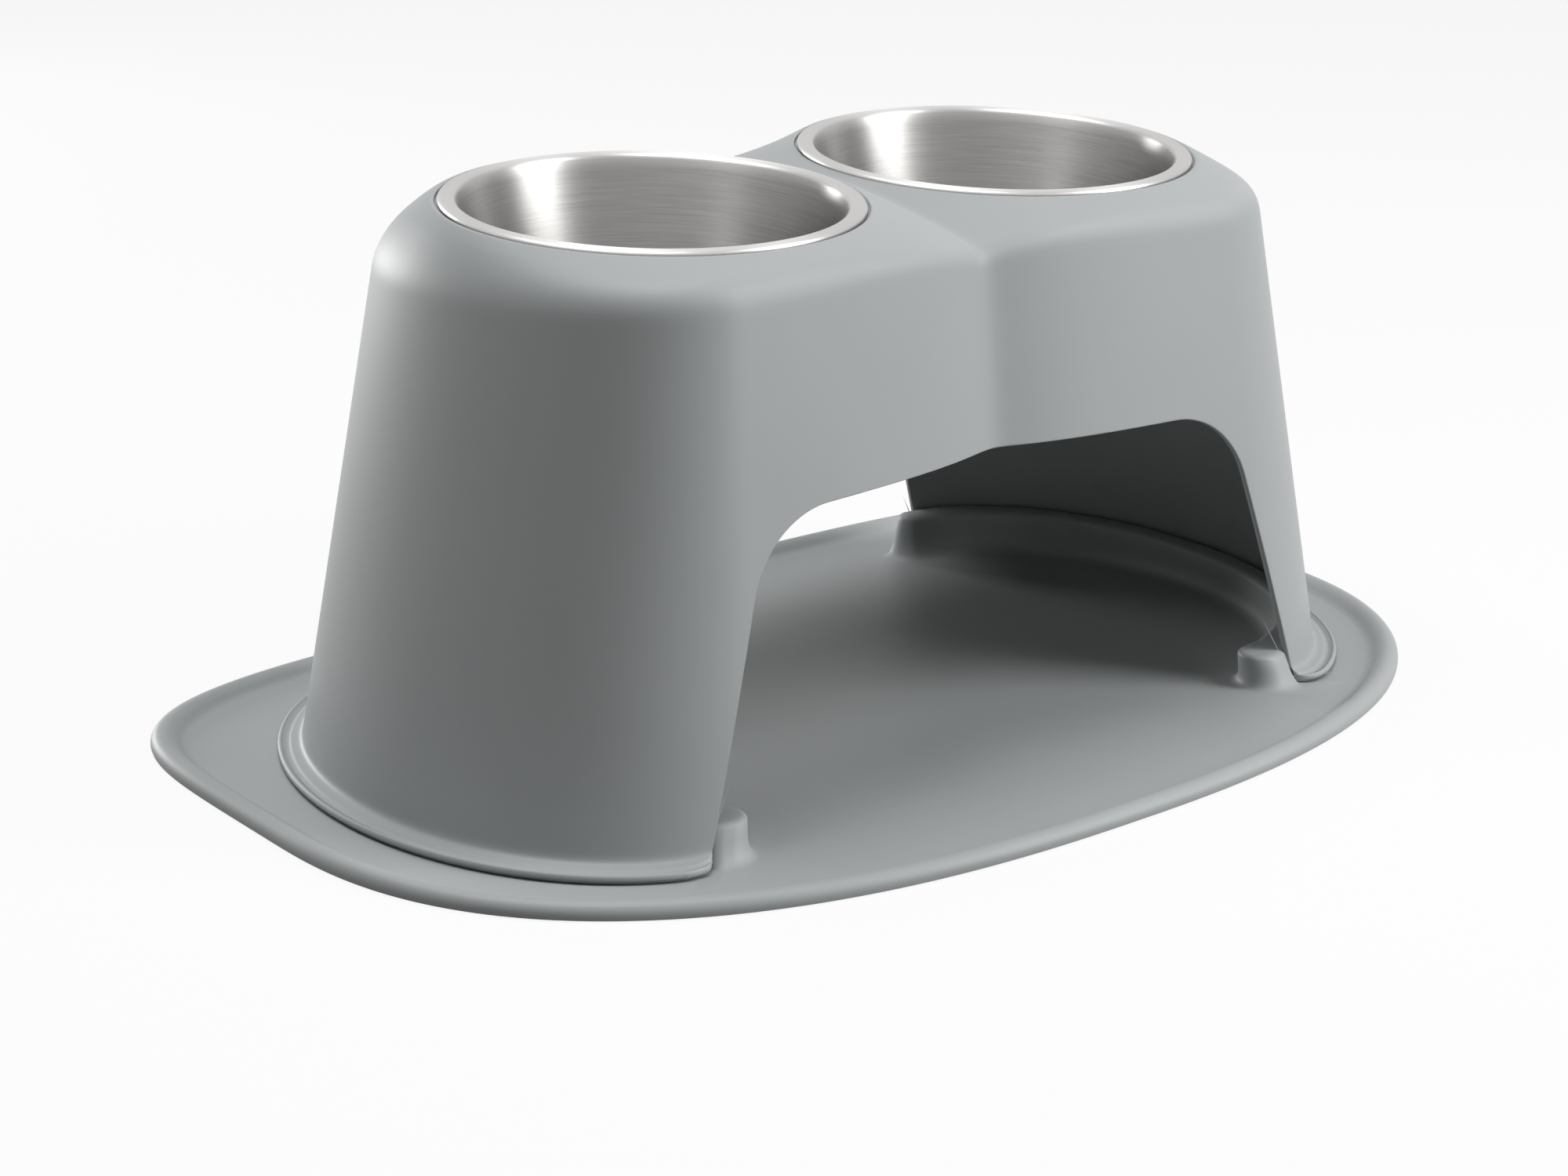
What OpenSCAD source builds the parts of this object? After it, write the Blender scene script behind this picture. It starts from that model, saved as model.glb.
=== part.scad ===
/* [Bowls] */
// Height of the bowl rims above the surface, at the middle of a rim
rim_height = 252.5; // [225:0.5:300]
// Distance between the axes of the two bowls
bowl_pitch = 201.6; // [198:0.2:230]
// Radius of a bowl over its rolled edge
bowl_rim_r = 94; // [80:0.5:95]
// Width of the flat flange round a bowl's mouth
flange_w = 8.5; // [8:0.5:14]
// Inside depth of a bowl
bowl_depth = 66; // [40:1:80]
// Angle of a bowl's side from straight
bowl_taper = 9; // [4:0.5:16]
// Radius where a bowl's side meets its floor
bowl_corner_r = 16; // [8:1:24]
// Radius where a bowl's side meets its flange
bowl_lip_r = 2.5; // [2:0.5:4]
// Thickness of the bowl steel
bowl_t = 0.9; // [0.6:0.1:1.5]
// Radius of the rolled edge round the flange
roll_r = 1.3; // [1:0.1:2]
// Angle by which the bowls lean towards the front
lean = 3; // [0:0.2:6]

/* [Stand] */
// Reach of the wall's foot sideways from a bowl's axis
foot_reach = 163; // [150:1:190]
// Reach of the wall's foot to the front and to the back
foot_depth = 141.4; // [132:0.2:165]
// Inward lean of the side walls, as rise over run
side_draft = 0.213; // [0.1:0.005:0.23]
// Inward lean of the front and back walls
front_draft = 0.11; // [0.04:0.005:0.12]
// Part of a lobe's reach that runs straight before its round end
core_share = 0.355; // [0.2:0.005:0.5]
// Depth of the soft waist between the lobes
waist_depth = 12; // [4:0.5:18]
// Reach of the waist to each side
waist_spread = 38; // [20:1:60]
// Roundness of the waist at its middle
waist_round = 17; // [3:0.5:24]
// Thickness of the moulded wall
wall = 3; // [2:0.1:4]
// Width of the lip round the foot
lip_w = 10.5; // [8:0.5:14]
// Height of the lip's edge
lip_h = 4; // [2.5:0.5:6]
// Height at which the fillet over the lip meets the wall
fillet_h = 9; // [6:0.5:20]
// Height of the shoulder line above the surface, at the middle of a side
shoulder_h = 235.5; // [205:0.5:240]
// Angle by which the shoulder line falls towards the back
shoulder_lean = 2; // [0:0.1:3]
// Crown of the top between the rims and the shoulder
top_power = 1.2; // [1:0.05:1.6]
// Slope of the top in the valley between the bowls
valley_slope = 0.32; // [0.1:0.01:0.4]
// Reach of the valley to each side
valley_spread = 60; // [30:2:90]
// Rounding of the shoulder at the outer sides
shoulder_big = 16; // [8:1:20]
// Rounding of the shoulder at the waist
shoulder_small = 8; // [4:1:14]

/* [Bowl seats] */
// Drop from the flange's face to the stand's edge round it
rim_proud = 1.2; // [0.6:0.1:2]
// Gap between a rolled edge and the wall round it
seat_gap = 1.2; // [0.6:0.1:2]
// Width of the ledge under a flange
ledge_w = 7.5; // [6:0.5:8]
// Thickness of the ledge
ledge_t = 4; // [3:0.5:6]

/* [Arches] */
// Half width of an arch at the foot
arch_half_w = 179; // [160:1:195]
// Height of an arch at its middle
arch_h = 146; // [110:1:160]
// Drop of an arch's top edge from its middle to its corners
arch_crown = 2.5; // [0:0.5:12]
// Inward lean of the legs' edges, as run over rise
leg_lean = 0.3; // [0.1:0.01:0.4]
// Radius of an arch's corners
arch_corner_r = 46; // [20:1:60]

/* [Mat] */
// Reach of the mat to each side
mat_side = 304; // [290:1:340]
// Reach of the mat to the front
mat_front = 210.5; // [190:0.5:240]
// Reach of the mat to the back
mat_back = 185.5; // [178:0.5:220]
// Squareness of the front corners
front_power = 2.45; // [2.2:0.05:4]
// Squareness of the back corners
back_power = 5.2; // [3:0.1:7]
// Thickness of the mat
mat_t = 2; // [1.6:0.1:4]
// Width of the bead round the mat
bead_w = 15; // [10:0.5:20]
// Height of the bead above the mat's underside
bead_h = 7; // [5:0.5:14]

/* [Locating ridges] */
// Height of a ridge above the mat
ridge_h = 21; // [8:1:26]
// Width of a ridge across its top
ridge_top_w = 12; // [5:0.5:14]
// Spread of a ridge's inner foot beyond its top
ridge_foot_w = 11; // [6:1:20]
// Gap between a ridge and the stand's wall
ridge_gap = 1; // [0.5:0.1:2]
// Length of a ridge past the leg's edge
ridge_past = 22; // [21:1:32]
// Height of the bosses at a ridge's front end
boss_h = 16; // [8:1:20]
// Width of a boss along the mat
boss_w = 20; // [12:1:26]
// Depth of a boss from front to back
boss_depth = 28; // [18:1:36]
// Reach of a boss in front of the stand's wall
boss_past = 5; // [1:0.5:8]

/* [Foot pads] */
// Radius of a pad
pad_r = 13; // [8:0.5:18]
// Thickness of a pad
pad_t = 1.5; // [1.4:0.1:3]
// Depth of a pad's recess in the mat
pad_recess = 0.9; // [0.4:0.1:1.2]
// Gap round a pad in its recess
pad_gap = 0.3; // [0.2:0.1:1]

/* [Hidden] */
plastic_colour = [0.55, 0.57, 0.57];
steel_colour = [0.8, 0.8, 0.79];
rubber_colour = [0.2, 0.2, 0.21];
$fn = 96;

// Seating gap between pieces that lift apart, and the overrun of a cut
seat_clear = 0.3;
overrun = 4;

// Heights of the mat's underside and floor, and of the stand's foot
mat_z = pad_t - pad_recess;
floor_z = mat_z + mat_t;
foot_z = floor_z + seat_clear;

// Middle of the mat's depth, which is the origin
centre_y = (mat_front - mat_back) / 2;
lobe_x = bowl_pitch / 2;

// Columns round a quarter of the stand: along the straight part and round the end
core_columns = 9;
end_columns = 11;
quarter_columns = core_columns + end_columns;
stand_columns = 4 * quarter_columns;
// Crowding of the straight part's columns towards the waist
crowd_share = 1.3;

// Outline of the stand's wall at height h, grown by out, for column k of a quarter
function reach(h) = foot_reach - side_draft * h;
function depth(h) = foot_depth - front_draft * h;
function core_x(h) = lobe_x + core_share * reach(h);
function waist_sag(x) = waist_depth
    * exp((waist_round - norm([x, waist_round])) / waist_spread);
function core_point(k, h, out) =
    let (x = core_x(h) * pow(k / core_columns, crowd_share))
    [x, depth(h) + out - waist_sag(x)];
function end_point(k, h, out) =
    let (turn = 90 * (k - core_columns) / end_columns,
        x = core_x(h) + (reach(h) * (1 - core_share) + out) * sin(turn))
    [x, (depth(h) + out - waist_sag(x)) * cos(turn)];
function quarter_point(k, h, out) =
    k <= core_columns ? core_point(k, h, out) : end_point(k, h, out);

// The same outline all round, from the front middle towards +X
function quarter_of(j, n) = floor(j / n);
function column_of(j, n) = quarter_of(j, n) % 2 == 0 ? j % n : n - j % n;
function sides_of(j, n) =
    [quarter_of(j, n) < 2 ? 1 : -1, (quarter_of(j, n) + 1) % 4 < 2 ? -1 : 1];
function place(p, s) = [p.x * s.x, p.y * s.y];
function wall_point(j, h, out) =
    place(quarter_point(column_of(j, quarter_columns), h, out), sides_of(j, quarter_columns));

// Radius of the hole that a flange drops into, and of the first ring round it
seat_r = bowl_rim_r + seat_gap;
crest_r = seat_r + wall / 2;

// Height of the valley between the rims, and its share of the top at x
valley_lean_share = 0.5;
function bowl_distance(p) = norm([abs(p.x) - lobe_x, p.y]);
function seat_height(p) = rim_height - rim_proud + tan(lean) * p.y;
function valley_height(p) =
    let (past = max(0, bowl_distance(p) - seat_r))
    rim_height - rim_proud - valley_slope * past
    + tan(lean) * p.y * max(valley_lean_share, 1 - past / valley_spread);
function valley_share(x) = exp(-pow(x / valley_spread, 2));
function mixed(x, valley, other) = other + (valley - other) * valley_share(x);

// Height of the top on the way from a crest, at share 0, to the shoulder at share 1
function top_height(p, crest, s) = mixed(p.x, valley_height(p),
    seat_height(crest) + (shoulder_h - tan(shoulder_lean) * p.y - seat_height(crest))
    * pow(s, top_power));
function rounding(x) = shoulder_small + (shoulder_big - shoulder_small)
    * (1 - exp(-pow(x / lobe_x, 2)));

// Point on the ring round the seats, and on the slot inside it, for a wall point
slot_half = wall;
crest_half = 2 * slot_half;
function towards(p, r) =
    let (c = [sign(p.x) * lobe_x, 0], d = p - c) c + d * r / norm(d);
function across(p, r) = let (x = abs(p.x) - lobe_x)
    [p.x, sign(p.y) * sqrt(max(r * r - x * x, crest_half * crest_half))];
function crest_point(p) = abs(p.x) < lobe_x ? across(p, crest_r) : towards(p, crest_r);
function slot_point(p) = abs(p.x) < lobe_x ? [p.x, sign(p.y) * slot_half]
    : towards(p, slot_half);

// Rings of the skin: shares of the way along each part of a column
shoulder_shares = [0, 0.17, 0.33, 0.5, 0.67, 0.83];
top_shares = [0, 0.35, 0.7, 1];
inner_top_share = 0.5;

function lift(p, h) = [p.x, p.y, h];
function curve(a, b, c, t) = a * (1 - t) * (1 - t) + b * 2 * t * (1 - t) + c * t * t;

// One column of the skin, from the top of the wall to the slot at the middle
function column(j, drop) =
    let (shoulder = wall_point(j, shoulder_h, -drop),
        h = top_height(shoulder, shoulder, 1),
        corner = wall_point(j, h, -drop),
        crest = crest_point(corner),
        run = norm(crest - corner),
        r = rounding(corner.x),
        past_share = 1 - min(r / run, 1 - core_share),
        past = crest + (corner - crest) * past_share,
        low = lift(wall_point(j, h - r, -drop), h - r - drop),
        mid = lift(corner, h - drop),
        high = lift(past, top_height(past, crest, past_share) - drop),
        slot = slot_point(corner),
        slot_h = rim_height - rim_proud - drop)
    concat(
        [for (s = shoulder_shares) curve(low, mid, high, s)],
        [for (s = top_shares) let (p = past + (crest - past) * s)
            lift(p, top_height(p, crest, past_share * (1 - s)) - drop)],
        [lift(crest + (slot - crest) * inner_top_share, slot_h), lift(slot, slot_h)]);

// Foot of the wall with its lip, as [distance out, height] in shares
lip_shares = [[0.92, 0], [1, 0.2], [1.03, 0.5], [1.02, 0.8], [0.95, 1], [0.87, 0.97],
    [0.78, 0.87], [0.62, 0.85], [0.46, 0.9]];
lip_reach_share = 1.03;
fillet_shares = [[0.33, 0.45], [0.2, 0.52], [0.1, 0.64], [0.03, 0.8], [0, 1]];
foot_profile = concat(
    [for (s = lip_shares) [s.x * lip_w, s.y * lip_h]],
    [for (s = fillet_shares) [s.x * lip_w, s.y * fillet_h]]);

// Triangles that close n points in a ring: a fan from the first point, or, where the
// second half of the ring lies across from the first, a strip between the two halves
function fan(n) = [for (j = [1 : n - 2]) [0, j, j + 1]];
function strip(n) = [for (j = [-n / 4 : n / 4 - 1])
    let (a = (j + n) % n, b = (j + 1 + n) % n, c = n / 2 - j - 1, d = (n / 2 - j) % n)
    each concat(b == c ? [] : [[a, b, c]], a == d ? [] : [[a, c, d]])];

// A closed skin over columns of points, side by side all the way round
module skin(columns, closing) {
    n = len(columns);
    m = len(columns[0]);
    bands = [for (j = [0 : n - 1]) for (i = [0 : m - 2])
        let (k = (j + 1) % n, a = j * m + i, b = k * m + i)
        each [[a, a + 1, b + 1], [a, b + 1, b]]];
    first = [for (f = closing) [f[0] * m, f[1] * m, f[2] * m]];
    last = [for (f = closing) [f[0] * m + m - 1, f[2] * m + m - 1, f[1] * m + m - 1]];
    polyhedron([for (c = columns) for (p = c) p], concat(bands, first, last));
}

function reversed(v) = [for (i = [len(v) - 1 : -1 : 0]) v[i]];

module shell() {
    skin([for (j = [0 : stand_columns - 1]) concat(
        reversed(column(j, wall)),
        [lift(wall_point(j, foot_z, -wall), foot_z)],
        [for (p = foot_profile) let (z = foot_z + p.y) lift(wall_point(j, z, p.x), z)],
        column(j, 0))], strip(stand_columns));
}

// Frame of a bowl: on its axis, leaning with it, at the height of its rim
module at_bowl(side) {
    translate([side * lobe_x, 0, rim_height]) rotate([lean, 0, 0]) children();
}

// Depth of the ledge under the flange's face, and its bond into the wall round it
ledge_z = -2 * roll_r - seat_clear;
bond_share = 0.9;

module seat_ledge() {
    translate([0, 0, ledge_z - ledge_t])
        cylinder(h = ledge_t, r = seat_r + bond_share * wall);
}

module seat_cut() {
    translate([0, 0, ledge_z]) cylinder(h = rim_height, r = seat_r);
    translate([0, 0, ledge_z - ledge_t - overrun])
        cylinder(h = rim_height, r = seat_r - ledge_w);
}

// Points on an arc about c, from one angle to another
arc_steps = 8;
function arc(c, r, from, to) =
    [for (i = [0 : arc_steps]) let (t = from + (to - from) * i / arc_steps)
        c + r * [cos(t), sin(t)]];

// Arch outline in the XZ plane: sloped legs, round corners and a gentle crown
leg_angle = atan(leg_lean);
crown_angle = atan(arch_crown / arch_half_w);
arch_corner_z = arch_h - arch_crown - arch_corner_r;
arch_corner_x = arch_half_w - leg_lean * arch_corner_z - arch_corner_r / cos(leg_angle);
arch_corner = arc([arch_corner_x, arch_corner_z], arch_corner_r, leg_angle, 90 - crown_angle);
arch_foot = arch_half_w + leg_lean * overrun;

module arch_cut() {
    half = concat([[arch_foot, -overrun]], arch_corner, [[0, arch_h]]);
    other = [for (p = reversed(half)) [-p.x, p.y]];
    rotate([90, 0, 0])
        linear_extrude(height = 2 * (foot_depth + lip_w + overrun), center = true)
            polygon(concat(half, [for (i = [1 : len(other) - 1]) other[i]]));
}

// Rounding of the lip's four ends, beside the legs' edges
lip_end_r = lip_w * lip_reach_share;
lip_end_x = arch_half_w + lip_end_r;
lip_end_y = (depth(foot_z) + lip_end_r) * sqrt(1 - pow((lip_end_x - core_x(foot_z))
    / (reach(foot_z) * (1 - core_share) + lip_end_r), 2)) - lip_end_r;

module lip_end_cut() {
    difference() {
        translate([lip_end_x - lip_end_r - overrun, lip_end_y, 0])
            cube([lip_end_r + overrun, 2 * lip_end_r, foot_z + fillet_h]);
        translate([lip_end_x, lip_end_y, -overrun])
            cylinder(h = foot_z + fillet_h + 2 * overrun, r = lip_end_r);
    }
}

module stand() {
    color(plastic_colour) translate([0, centre_y, 0]) difference() {
        union() {
            shell();
            for (side = [-1, 1]) at_bowl(side) seat_ledge();
        }
        for (side = [-1, 1]) at_bowl(side) seat_cut();
        arch_cut();
        for (x = [0, 1]) for (y = [0, 1]) mirror([x, 0, 0]) mirror([0, y, 0]) lip_end_cut();
    }
}

// Bowl section: [radius, height] along the inside face, and the same grown by t
mouth_r = bowl_rim_r - flange_w;
lip_c = [mouth_r + bowl_lip_r, -bowl_lip_r];
corner_c_z = -bowl_depth + bowl_corner_r;
corner_c = [lip_c.x - (bowl_corner_r + bowl_lip_r + (lip_c.y - corner_c_z) * sin(bowl_taper))
    / cos(bowl_taper), corner_c_z];
roll_c = [bowl_rim_r - roll_r, -roll_r];
function bowl_line(t) = concat(
    [[0, -bowl_depth - t]],
    arc(corner_c, bowl_corner_r + t, -90, -bowl_taper),
    arc(lip_c, bowl_lip_r - t, 180 - bowl_taper, 90));

module bowl() {
    rotate_extrude() polygon(concat(
        bowl_line(0),
        arc(roll_c, roll_r, 90, -90),
        [[bowl_rim_r - roll_r - bowl_t, -2 * roll_r], [bowl_rim_r - roll_r - bowl_t, -bowl_t]],
        reversed(bowl_line(bowl_t))));
}

module bowl_at(side) {
    color(steel_colour) translate([0, centre_y, 0]) at_bowl(side) bowl();
}

// Outline of the mat at distance inset from its edge, for column k of a quarter
mat_columns = 20;
mat_ring = 4 * mat_columns;
function power_point(k, power, a, b) = let (t = 90 * k / mat_columns)
    [a * pow(sin(t), 2 / power), b * pow(cos(t), 2 / power)];
function mat_point(j, inset) =
    let (s = sides_of(j, mat_columns), front = s.y < 0)
    place(power_point(column_of(j, mat_columns), front ? front_power : back_power,
        mat_side - inset, (front ? mat_front : mat_back) - inset), s);

// Bead section as [distance in, height] in shares of its width and height
bead_shares = [[0.02, 0], [0, 0.3], [0.03, 0.55], [0.1, 0.78], [0.2, 0.93], [0.34, 1],
    [0.48, 0.96], [0.6, 0.82], [0.72, 0.6], [0.84, 0.43], [1, 0.36]];
hollow_shares = [[0.18, 0], [0.22, 0.4], [0.36, 0.6], [0.52, 0.5], [0.68, 0]];
bead_floor_share = 0.36;

module tray() {
    skin([for (j = [0 : mat_ring - 1]) concat(
        [for (s = reversed(hollow_shares)) lift(mat_point(j, s.x * bead_w), mat_z + s.y * bead_h)],
        [for (s = bead_shares) lift(mat_point(j, s.x * bead_w),
            mat_z + (s.y - bead_floor_share) / (1 - bead_floor_share) * (bead_h - mat_t)
            * (s.y > bead_floor_share ? 1 : 0) + mat_t * min(1, s.y / bead_floor_share))])],
        strip(mat_ring));
}

// Section of a ridge, as [distance in from the wall's gap, height] in shares
ridge_steps = 18;
ridge_w = ridge_top_w + ridge_foot_w;
ridge_crest_share = ridge_top_w / ridge_w;
ridge_base_share = -0.06;
ridge_outer_shares = [[0, ridge_base_share], [0, 0.85], [0.15, 0.97]];
ridge_inner_shares = [[0, 1], [0.12, 0.94], [0.2, 0.8], [0.45, 0.3], [0.65, 0.12],
    [1, ridge_base_share]];
ridge_section = concat(
    [for (s = ridge_outer_shares) [s.x * ridge_top_w, s.y * ridge_h]],
    [for (s = ridge_inner_shares) [ridge_top_w + (s.x - ridge_crest_share) * ridge_foot_w,
        s.y * ridge_h]]);
// Ends of a ridge, as [length past the round part, size] in shares
ridge_end_shares = [[0.45, 0.95], [0.75, 0.8], [0.93, 0.55], [1, 0.3]];

// Share of a ridge's height at a turn round its lobe: it falls to its boss at the front
fall_start = 45;
fall_end = 80;
function rise_share(turn) = 1 - (1 - boss_h / ridge_h)
    * min(1, max(0, (-turn - fall_start) / (fall_end - fall_start)));

// Point of a ridge at a turn round its lobe, past its end by e and drawn in to size s
function ridge_point(p, turn, e, s) =
    let (mid = ridge_top_w / 2,
        inset = wall + ridge_gap + mid + (p.x - mid) * s,
        h = floor_z + (p.y > 0 ? p.y * rise_share(turn) * (1 + s) / 2 : p.y),
        end_x = core_x(floor_z),
        round_x = core_x(h) - end_x + reach(h) * (1 - core_share) - inset)
    [end_x - e + round_x * cos(turn), (depth(h) - inset) * sin(turn), h];
ridge_run = core_x(floor_z) - arch_half_w + ridge_past;
ridge_ends = concat([[0, 1]], [for (s = ridge_end_shares) [s.x * ridge_run, s.y]]);
ridge_stations = concat(
    [for (s = reversed(ridge_ends)) [-90, s.x, s.y]],
    [for (i = [1 : ridge_steps - 1]) [-90 + 180 * i / ridge_steps, 0, 1]],
    [for (s = ridge_ends) [90, s.x, s.y]]);

module ridge(side) {
    mirror([side < 0 ? 1 : 0, 0, 0])
        skin([for (p = reversed(ridge_section))
            [for (s = ridge_stations) ridge_point(p, s[0], s[1], s[2])]], fan(len(ridge_section)));
}

// Boss that ends a ridge beside the leg's edge: [size, height] in shares, from foot to top
boss_shares = [[1.28, ridge_base_share], [1.1, 0.08], [1, 0.22], [0.87, 0.8], [0.8, 0.94], [0.6, 1]];
boss_power = 4;
boss_columns = 5;
boss_ring = 4 * boss_columns;
boss_y = depth(floor_z) + boss_past - boss_depth / 2;

function boss_point(j, p) =
    let (s = sides_of(j, boss_columns), t = 90 * column_of(j, boss_columns) / boss_columns,
        h = floor_z + p.y * boss_h, half = p.x * boss_w / 2)
    [arch_half_w - leg_lean * h - ridge_gap - half * (1 - s.x * pow(sin(t), 2 / boss_power)),
        s.y * p.x * boss_depth / 2 * pow(cos(t), 2 / boss_power) - boss_y, h];

module boss(side) {
    mirror([side < 0 ? 1 : 0, 0, 0])
        skin([for (j = [0 : boss_ring - 1]) [for (p = boss_shares) boss_point(j, p)]],
            fan(boss_ring));
}

module mat() {
    color(plastic_colour) translate([0, centre_y, 0]) difference() {
        union() {
            tray();
            for (side = [-1, 1]) {
                ridge(side);
                boss(side);
            }
        }
        for (p = pad_places) translate([p.x, p.y, 0]) cylinder(h = pad_t, r = pad_r + pad_gap);
    }
}

// Places of the pads: towards the corners and at the middles of the long sides
pad_in = bead_w + 2 * pad_r;
pad_corner_share = 0.72;
pad_places = [for (y = [-(mat_front - pad_in), mat_back - pad_in]) for (x = [-1, 0, 1])
    [x * pad_corner_share * mat_side, x == 0 ? y : y * pad_corner_share]];

module foot_pad(i) {
    color(rubber_colour) translate([pad_places[i].x, pad_places[i].y + centre_y, 0])
        cylinder(h = pad_t, r = pad_r);
}

stand();
mat();
bowl_at(-1);  // bowl_left
bowl_at(1);  // bowl_right
foot_pad(0);  // foot_pad_front_left
foot_pad(1);  // foot_pad_front_middle
foot_pad(2);  // foot_pad_front_right
foot_pad(3);  // foot_pad_back_left
foot_pad(4);  // foot_pad_back_middle
foot_pad(5);  // foot_pad_back_right
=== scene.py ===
"""The looks of a raised double pet feeder: its stand, spill mat, bowls and pads."""

import logging
import math
from collections.abc import Callable, Sequence
from dataclasses import dataclass
from enum import Enum

import bpy
from mathutils import Matrix, Vector


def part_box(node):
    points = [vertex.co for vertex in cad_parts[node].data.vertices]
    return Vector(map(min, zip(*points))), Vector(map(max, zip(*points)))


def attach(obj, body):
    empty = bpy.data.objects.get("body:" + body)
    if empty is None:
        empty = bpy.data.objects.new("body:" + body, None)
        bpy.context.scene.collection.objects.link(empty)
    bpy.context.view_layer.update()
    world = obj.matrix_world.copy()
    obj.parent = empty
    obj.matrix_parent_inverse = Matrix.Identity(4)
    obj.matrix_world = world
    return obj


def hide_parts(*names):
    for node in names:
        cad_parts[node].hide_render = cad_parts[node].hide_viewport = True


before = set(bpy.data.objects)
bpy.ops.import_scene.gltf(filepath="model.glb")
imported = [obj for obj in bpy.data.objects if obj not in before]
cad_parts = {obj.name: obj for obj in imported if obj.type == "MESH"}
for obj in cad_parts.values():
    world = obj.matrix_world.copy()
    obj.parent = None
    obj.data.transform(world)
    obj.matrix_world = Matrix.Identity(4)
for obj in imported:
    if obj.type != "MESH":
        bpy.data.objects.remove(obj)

LOG = logging.getLogger("feeder")
MM = 0.001
MERGE_MM = 0.02
PHOTO_WIDTH_PX = 2000

Pair = tuple[float, float]
Triple = tuple[float, float, float]


class Side(Enum):
    """The two lobes of the feeder, as the sign of their place along X."""

    LEFT = -1
    RIGHT = 1


class Face(Enum):
    """Front and back of the feeder, as the sign of their place along Y."""

    FRONT = -1
    BACK = 1


def lerp(a: float, b: float, t: float) -> float:
    """Value on the way from a to b, at share t."""
    return a + (b - a) * t


def ease(share: float) -> float:
    """Share held between 0 and 1, with a soft start and end."""
    held = min(max(share, 0), 1)
    return held**2 * (3 - 2 * held)


def bezier(a: Vector, b: Vector, c: Vector, t: float) -> Vector:
    """Point at share t of the quadratic curve from a to c, drawn towards b."""
    return a * (1 - t) ** 2 + b * (2 * t * (1 - t)) + c * t**2


def arc(centre: Pair, radius: float, start: float, end: float, steps: int) -> list[Pair]:
    """Points on an arc.

    Args:
        centre: Middle of the arc.
        radius: Its radius.
        start: First angle in degrees.
        end: Last angle in degrees.
        steps: Number of chords.

    Returns:
        The points, from the first angle to the last.
    """
    angles = [math.radians(lerp(start, end, i / steps)) for i in range(steps + 1)]
    return [(centre[0] + radius * math.cos(t), centre[1] + radius * math.sin(t)) for t in angles]


def select_only(*objs: bpy.types.Object) -> None:
    """Deselects everything, then selects the given objects and makes the first one active.

    Args:
        objs: The objects to select.
    """
    bpy.ops.object.select_all(action="DESELECT")
    for obj in objs:
        obj.select_set(True)
    bpy.context.view_layer.objects.active = objs[0]


def patch(
    name: str, columns: int, rows: int, place: Callable[[int, int], Vector]
) -> bpy.types.Object:
    """Adds a grid and lays each of its corners on a curved surface.

    Args:
        name: Name of the new object.
        columns: Number of cells across.
        rows: Number of cells up.
        place: Gives the point, in millimetres, for a column and a row.

    Returns:
        The new object.
    """
    bpy.ops.object.select_all(action="DESELECT")
    bpy.ops.mesh.primitive_grid_add(x_subdivisions=columns, y_subdivisions=rows, size=1)
    obj = bpy.context.active_object
    obj.name = name
    for v in obj.data.vertices:
        i = round((v.co.x + 0.5) * columns)
        j = round((v.co.y + 0.5) * rows)
        v.co = place(i, j) * MM
    return obj


def weld(parts: Sequence[bpy.types.Object], name: str, outward: bool = True) -> bpy.types.Object:
    """Joins parts into one mesh, merges the corners that meet and turns the faces outwards.

    Args:
        parts: The objects to join.
        name: Name of the joined piece.
        outward: Whether the faces point outwards; otherwise they are left as they are.

    Returns:
        The joined object.
    """
    select_only(*parts)
    bpy.ops.object.join()
    obj = bpy.context.active_object
    obj.name = name
    obj.data.name = name
    bpy.ops.object.mode_set(mode="EDIT")
    bpy.ops.mesh.select_all(action="SELECT")
    bpy.ops.mesh.remove_doubles(threshold=MERGE_MM * MM)
    if outward:
        bpy.ops.mesh.normals_make_consistent(inside=False)
    bpy.ops.object.mode_set(mode="OBJECT")
    return obj


def finish_with(obj: bpy.types.Object, kind: str, **settings: object) -> None:
    """Adds a modifier to a piece and applies it.

    Args:
        obj: The piece.
        kind: The modifier's type.
        settings: Its properties by name.
    """
    select_only(obj)
    modifier = obj.modifiers.new(kind.title(), kind)
    for key, value in settings.items():
        setattr(modifier, key, value)
    bpy.ops.object.modifier_apply(modifier=modifier.name)


def smooth(obj: bpy.types.Object, degrees: float = 40.0) -> None:
    """Shades a piece smooth, except over edges sharper than the angle."""
    select_only(obj)
    bpy.ops.object.shade_smooth_by_angle(angle=math.radians(degrees))


def report(obj: bpy.types.Object) -> None:
    """Logs a finished piece with its number of faces."""
    LOG.info("%s: %d faces", obj.name, len(obj.data.polygons))


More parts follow.
